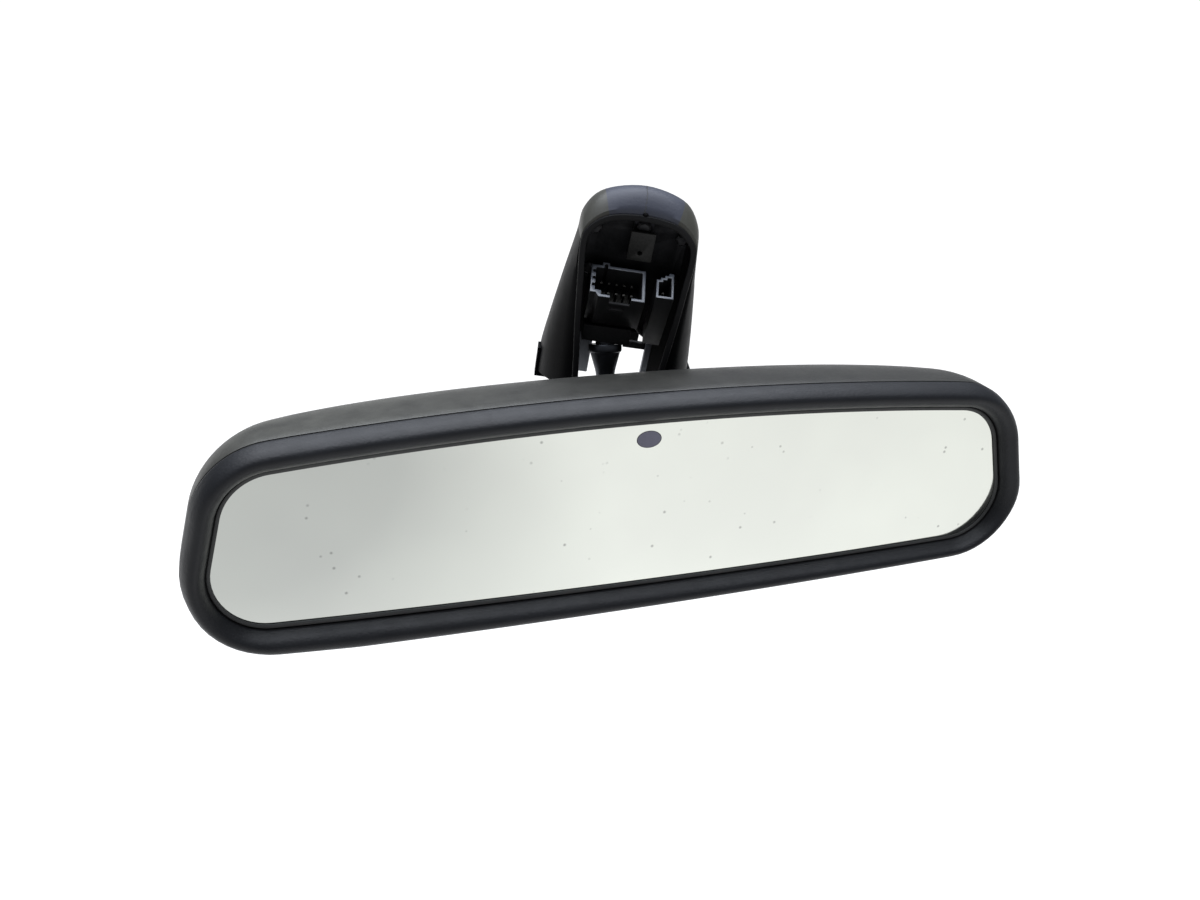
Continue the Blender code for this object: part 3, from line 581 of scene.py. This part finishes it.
def make_rear():
    shell = piece("rear_shell", "head", HEAD, *crown_mesh(0.0), [back_black], 50, None,
                  "black_satin_plastic", ("rear_housing",))
    recess = block("recess_cut", HEAD, (-34, 34), (-10.5, 60), (4, 60))
    rounded = recess.modifiers.new("rounded", "BEVEL")
    rounded.width = 5 * MM
    rounded.segments = 6
    settle(recess)
    dome = cutter("dome", HEAD, *loft([circle(r, 48, h) for r, h in ball_profile(14.5, 22)]))
    hollow = cutter("hollow", HEAD, *crown_mesh(2.0))
    room = block("room", HEAD, (-36, 36), (-12.5, 60), (2, 60))
    shape(hollow, "DIFFERENCE", room)
    inner_dome = cutter("inner_dome", HEAD, *loft([circle(r, 48, h) for r, h in ball_profile(12.6, 22)]))
    shape(hollow, "UNION", inner_dome)
    wide = math.tan(math.radians(37))
    mouth = cutter("mouth", MOUTH, *loft([circle(5 * wide, 48, 5), circle(15.5 * wide, 48, 15.5)]))
    window = cutter("window", HEAD, *loft([
        [(-45 + x, -10 + h, MID_Z + y) for x, y, _ in circle(3.1, 32, 0)] for h in (0, 30)
    ]))
    shape(shell, "DIFFERENCE", recess)
    shape(shell, "UNION", dome)
    shape(shell, "DIFFERENCE", hollow, mouth, window)
    smooth(shell, 40)


# ---- sensor window in the silvering ----
def make_sensor_window():
    rim_look = plastic(
        "sensor_rim_print", (0.045, 0.045, 0.055), (0.065, 0.065, 0.075), (0.3, 0.4), specular=0.4
    )
    pane = plastic(
        "sensor_pane_print", (0.105, 0.105, 0.150), (0.135, 0.135, 0.185), (0.3, 0.4), specular=0.4
    )
    level = GLASS_Y - 0.04
    verts = [(0, level, 16)]
    faces = []
    indices = []
    steps = 48
    sizes = (0.80, 0.93, 1.0)
    for size in sizes:
        for i in range(steps):
            turn = 2 * math.pi * i / steps
            verts.append((3.5 * size * math.cos(turn), level, 16 + 2.45 * size * math.sin(turn)))
    for i in range(steps):
        faces.append((0, 1 + i, 1 + (i + 1) % steps))
        indices.append(0)
    for k in range(len(sizes) - 1):
        a = 1 + k * steps
        b = a + steps
        for i in range(steps):
            faces.append((a + i, a + (i + 1) % steps, b + (i + 1) % steps, b + i))
            indices.append(k)
    back = len(verts)
    verts += [(x, y + 0.2, z) for x, y, z in verts[1 + 2 * steps : 1 + 3 * steps]]
    rim = 1 + 2 * steps
    for i in range(steps):
        faces.append((rim + i, rim + (i + 1) % steps, back + (i + 1) % steps, back + i))
        indices.append(1)
    faces.append(tuple(range(back, back + steps)))
    indices.append(1)
    piece("sensor_window", "head", HEAD, verts, faces, [pane, rim_look], 60, indices, "chip_epoxy")


# ---- arm ----
def rim(half, per_span):
    """Left-bottom to right-bottom points of an arched rim from its right half, smooth over the top."""
    over_top = [*half, (-half[-2][0], half[-2][1])]
    points = curve_through([(x, z, 0) for x, z in over_top], per_span)
    right = [tuple(p)[:2] for p in points[: -per_span]]
    return [(-x, z) for x, z in right] + [(x, z) for x, z in reversed(right[:-1])]


foot_in_arm = Matrix.Rotation(math.radians(FOOT_TILT), 3, "X")


def arm_rings(near_half, far_half, per_span, depth_steps):
    near = [(x, 0.0, z) for x, z in rim(near_half, per_span)]
    far = [tuple(foot_in_arm @ Vector((x, WINDSCREEN - 0.4, z))) for x, z in rim(far_half, per_span)]
    rings = []
    for k in range(depth_steps + 1):
        share = k / depth_steps
        wide = 1 - (1 - share) ** FLARE
        ring = []
        for a, b in zip(near, far):
            high = wide if a[2] > 50 else share
            moved = (a[0] + (b[0] - a[0]) * wide, a[1] + (b[1] - a[1]) * share, a[2] + (b[2] - a[2]) * high)
            ring.append(moved)
        rings.append(ring)
    return rings


def inward_copy(ring, wall):
    moved = []
    for i, point in enumerate(ring):
        along = Vector(ring[min(i + 1, len(ring) - 1)]) - Vector(ring[max(i - 1, 0)])
        inward = Vector((0, 1, 0)).cross(along.normalized()).normalized()
        moved.append(tuple(Vector(point) + inward * wall))
    return moved


def make_arm():
    rings = arm_rings(NEAR_RIM, FAR_RIM, 6, 14)
    # the near rim is rounded over
    edge = []
    for wall, back in ((0.55, 0.0), (0.2, 0.12), (0.0, 0.45), (0.0, 0.80)):
        ring = [tuple(Vector(p) + Vector((0, back, 0))) for p in inward_copy(rings[0], wall)]
        edge.append(ring)
    inner_edge = []
    for wall, back in ((WALL - 0.5, 0.0), (WALL - 0.15, 0.15), (WALL, 0.5)):
        ring = [tuple(Vector(p) + Vector((0, back, 0))) for p in inward_copy(rings[0], wall)]
        inner_edge.append(ring)
    outer = edge + rings[1:]
    inner = inner_edge + [inward_copy(ring, WALL) for ring in rings[1:]]
    loops = [list(pair) for pair in zip(*outer)]
    inner_loops = [list(pair) for pair in zip(*inner)]
    sections = [loop + inside[::-1] for loop, inside in zip(loops, inner_loops)]
    verts, faces = loft(sections)
    around = len(sections[0])
    columns = len(sections) - 1
    indices = []
    # painted light: the crown spans take the blue-grey painted highlight, the facet spans the olive painted
    # reflection, and the cheeks a thin painted highlight line along the near edge
    for column in range(columns):
        place = min(column, columns - 1 - column)
        skin = 0 if place < CHEEK_COLUMNS else 1 if place < CROWN_COLUMN else 3
        line = 4 if place < CHEEK_COLUMNS else 2
        indices += [2, 2, line] + [skin] * (len(outer) - 4) + [2] * (around - len(outer) + 1)
    indices += [2, 2]
    looks = [arm_black, facet_reflection_olive, inner_black, crown_highlight_blue, edge_highlight]
    housing = piece("arm_shell", "arm", ARM, verts, faces, looks, 38, indices, "black_satin_plastic",
                    ("mount_housing",))
    edge_line = [(x * 0.965, z - (0.8 if z > 60 else 0)) for x, z in rim(FAR_RIM, 6)]
    outline = edge_line + [(9.3, 7), (9.3, 23.5), (-9.3, 23.5), (-9.3, 7)]
    slabs = [[(x, y, z) for x, z in outline] for y in (26.0, 27.6)]
    wall = cutter("back_wall", FOOT, *loft(slabs), inner_black)
    window = block("foot_window", FOOT, (-11.3, 11.3), (20, 30), (41.7, 62.3))
    lugs = []
    for side in (-1, 1):
        lugs.append(block(f"lug_{side}", ARM, sorted((side * 18.8, side * 23.4)), (15.5, 21.5), (12.5, 21.5)))
    bores = []
    for i, (x, z) in enumerate(FOOT_SCREWS + [(-9.4, 33.6), (0.2, 33.6)]):
        bores.append(cutter(f"bore_{i}", FOOT, *loft([
            [(x + a, 20 + h, z + b) for a, b, _ in circle(0.9, 20, 0)] for h in (0, 10)
        ])))
    shape(housing, "UNION", wall, *lugs)
    shape(housing, "DIFFERENCE", window, *bores)
    smooth(housing, 38)


def make_flash_line():
    """Moulding flash over the crown of the arm, ending in a small round nib."""
    random.seed(4)
    rings = arm_rings(NEAR_RIM, FAR_RIM, 6, 14)
    middle = len(rings[0]) // 2
    verts = []
    steps = 26
    for k in range(steps + 1):
        place = 0.6 + 11.2 * k / steps
        low = int(place)
        a, b = Vector(rings[low][middle]), Vector(rings[min(low + 1, 14)][middle])
        point = a.lerp(b, place - low)
        side = random.uniform(-0.16, 0.16)
        high = random.uniform(0.05, 0.16)
        wide = random.uniform(0.10, 0.24)
        for x, z in ((-wide, -0.2), (-wide * 0.4, high), (wide * 0.4, high), (wide, -0.2)):
            verts.append((point.x + side + x, point.y, point.z + z))
    faces = []
    for k in range(steps):
        a = 4 * k
        faces += [(a + i, a + (i + 1) % 4, a + 4 + (i + 1) % 4, a + 4 + i) for i in range(4)]
    faces += [(0, 1, 2, 3), tuple(4 * steps + i for i in range(4))]
    piece("arm_flash_line", "arm", ARM, verts, faces, [lip_grey], 30, None, "black_satin_plastic")
    nib = [circle(r * 0.9, 20, h * 0.8) for r, h in ball_profile(1.0, 8, -30, 86)]
    place = ARM @ Matrix.Translation(Vector((0.3, 0.9, 68.3)) * MM)
    piece("arm_moulding_nib", "arm", place, *loft(nib), [arm_black], 40, None, "black_satin_plastic")


# ---- softened copies of the plain moulded and cast parts ----
def soften(name, source, body, radius, mouth=None, sharp=35):
    """The part with its edges rounded over."""
    mesh = frame["nodes"][source].data.copy()
    bm = bmesh.new()
    bm.from_mesh(mesh)
    bmesh.ops.remove_doubles(bm, verts=bm.verts, dist=1e-6)
    bmesh.ops.dissolve_limit(bm, angle_limit=math.radians(1.0), verts=bm.verts, edges=bm.edges)
    bm.to_mesh(mesh)
    bm.free()
    for attribute in ("custom_normal", "sharp_edge", "sharp_face"):
        if attribute in mesh.attributes:
            mesh.attributes.remove(mesh.attributes[attribute])
    copy = bpy.data.objects.new(name, mesh)
    bpy.context.scene.collection.objects.link(copy)
    step = copy.modifiers.new("edge", "BEVEL")
    step.width = radius * MM
    step.segments = 2
    step.limit_method = "ANGLE"
    step.angle_limit = math.radians(sharp)
    step.use_clamp_overlap = True
    step.harden_normals = False
    settle(copy)
    smooth(copy, 40)
    # painted highlight: with a mouth frame, the faces at the mouth's top that face out of it take the lighter
    # rim colour
    if mouth:
        copy.data.materials.append(rim_highlight_grey)
        back = mouth.inverted()
        for face in copy.data.polygons:
            height = (back @ face.center).z / MM
            if height > -0.35 and (back.to_3x3() @ face.normal).z > 0.6:
                face.material_index = len(copy.data.materials) - 1
    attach(copy, body)
    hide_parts(source)
    return copy


def make_flanges():
    """Folded edges at the two sides of the notch round the neck."""
    for side, x in (("left", (-12.2, -7.3)), ("right", (9.0, 10.8))):
        rings = [[(x[0], 23.6, h), (x[1], 23.6, h), (x[1], 25.9, h), (x[0], 25.9, h)] for h in (8.2, 22.6)]
        flange = piece(f"arm_flange_{side}", "arm", FOOT, *loft(rings), [flange_lit_grey], 40, None,
                       "black_satin_plastic")
        step = flange.modifiers.new("edge", "BEVEL")
        step.width = 0.25 * MM
        step.segments = 2
        settle(flange)
        smooth(flange, 40)


def make_web():
    """Thin web over the notch, with a slit in it."""
    y = (24.7, 25.9)
    web = block("arm_web", FOOT, (2.2, 9.6), y, (18.5, 20.6))
    web.data.materials.append(inner_black)
    left = block("web_left", FOOT, (2.2, 6.4), y, (21.3, 24.4))
    right = block("web_right", FOOT, (7.9, 9.6), y, (20.4, 24.4))
    shape(web, "UNION", left, right, block("web_edge", FOOT, (2.2, 3.0), y, (20.4, 21.5)))
    smooth(web, 30)
    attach(web, "arm")


def make_stud():
    low = -math.degrees(math.acos(1.8 / 7.5))
    neck = math.degrees(math.acos(2.7 / 7.5))
    profile = [*ball_profile(7.5, 24, low, neck)]
    rise = curve_through([(2.7, 20, 0), (2.95, 21.6, 0), (3.3, 23, 0), (3.85, 25, 0), (4.4, 27, 0)], 4)
    profile += [(2.7, 12), *[(p.x, p.y) for p in rise], (4.75, 27.2), (4.9, 27.6), (4.9, 29.0), (4.7, 29.4)]
    profile += [(2.8, 29.4), (2.8, 34.7), (2.5, 35.0), (1.5, 35.0), (1.5, -6.6)]
    rings = [circle(r, 56, h) for r, h in profile]
    piece("stud_turned", "arm", STUD, *loft(rings, closed=True), [stud_dark], 30, None, "stud_steel",
          ("ball_stud",))


make_bezel()
make_rear()
make_sensor_window()
make_arm()
make_flash_line()
make_stud()
make_flanges()
make_web()
soften("main_socket_moulding", "main_socket", "arm", 0.22, MAIN)
soften("small_socket_moulding", "small_socket", "arm", 0.16, SMALL)
soften("release_tab_moulding", "release_tab", "latch", 0.2)
soften("stud_bracket_casting", "stud_bracket", "arm", 0.3)
soften("foot_plate_casting", "foot_plate", "arm", 0.2)


# ---- studio ----
def flat(name, size, centre, look):
    mesh = bpy.data.meshes.new(name)
    half = size / 2
    corners = [(-half, -half, 0), (half, -half, 0), (half, half, 0), (-half, half, 0)]
    mesh.from_pydata(corners, [], [(0, 1, 2, 3)])
    mesh.materials.append(look)
    made = bpy.data.objects.new(name, mesh)
    made.location = centre
    bpy.context.scene.collection.objects.link(made)
    return made


def floor_look():
    """Pale floor, a little greyer where the left of the glass looks."""
    made, tree, shader = started("pale_floor")
    place = tree.nodes.new("ShaderNodeTexCoord").outputs["Object"]
    spot = tree.nodes.new("ShaderNodeMapping")
    spot.inputs["Location"].default_value = (0.30, 1.6, 0)
    spot.inputs["Scale"].default_value = (1.9, 1.2, 1)
    tree.links.new(place, spot.inputs["Vector"])
    ball = tree.nodes.new("ShaderNodeTexGradient")
    ball.gradient_type = "SPHERICAL"
    tree.links.new(spot.outputs["Vector"], ball.inputs["Vector"])
    shade = ramp(tree, ball.outputs["Fac"], (1, 1, 1), (0.50, 0.50, 0.51), 0.0, 0.55)
    tree.links.new(shade, shader.inputs["Emission Color"])
    shader.inputs["Base Color"].default_value = (0.3, 0.3, 0.3, 1)
    shader.inputs["Roughness"].default_value = 1.0
    shader.inputs["Specular IOR Level"].default_value = 0.0
    shader.inputs["Emission Strength"].default_value = 1.0
    return made


def area_light(name, place, target, size, power, colour=(1, 1, 1)):
    data = bpy.data.lights.new(name, "AREA")
    data.shape = "RECTANGLE"
    data.size, data.size_y = size
    data.energy = power
    data.color = colour
    made = bpy.data.objects.new(name, data)
    made.location = place
    made.rotation_euler = (Vector(target) - Vector(place)).to_track_quat("-Z", "Y").to_euler()
    bpy.context.scene.collection.objects.link(made)
    return made


flat("studio_floor", 900.0, (0, 0, -0.60), floor_look())
area_light("softbox_above", (0.0, 0.15, 0.95), (0, 0, 0), (1.3, 1.3), 37, (0.88, 0.92, 1.0))

world = bpy.data.worlds.new("studio")
world.use_nodes = True
world.node_tree.nodes["Background"].inputs["Color"].default_value = (0.9, 0.93, 1.0, 1)
world.node_tree.nodes["Background"].inputs["Strength"].default_value = 0.25
bpy.context.scene.world = world
bpy.context.scene.view_settings.view_transform = "Standard"

# ---- camera ----
right = Vector((0.95303, -0.30089, 0.03448))
up = Vector((0.09019, 0.39064, 0.91612))
look = Vector((0.28912, 0.86998, -0.39943))
camera_data = bpy.data.cameras.new("camera")
camera_data.lens = 33.0
camera_data.sensor_width = 36.0
camera_data.clip_start = 0.01
camera_data.clip_end = 2000.0
camera = bpy.data.objects.new("camera", camera_data)
turn = Matrix((right, up, -look)).transposed().to_4x4()
camera.matrix_world = Matrix.Translation(BALL + Vector((-96.72, -286.13, 129.08)) * MM) @ turn
bpy.context.scene.collection.objects.link(camera)
bpy.context.scene.camera = camera
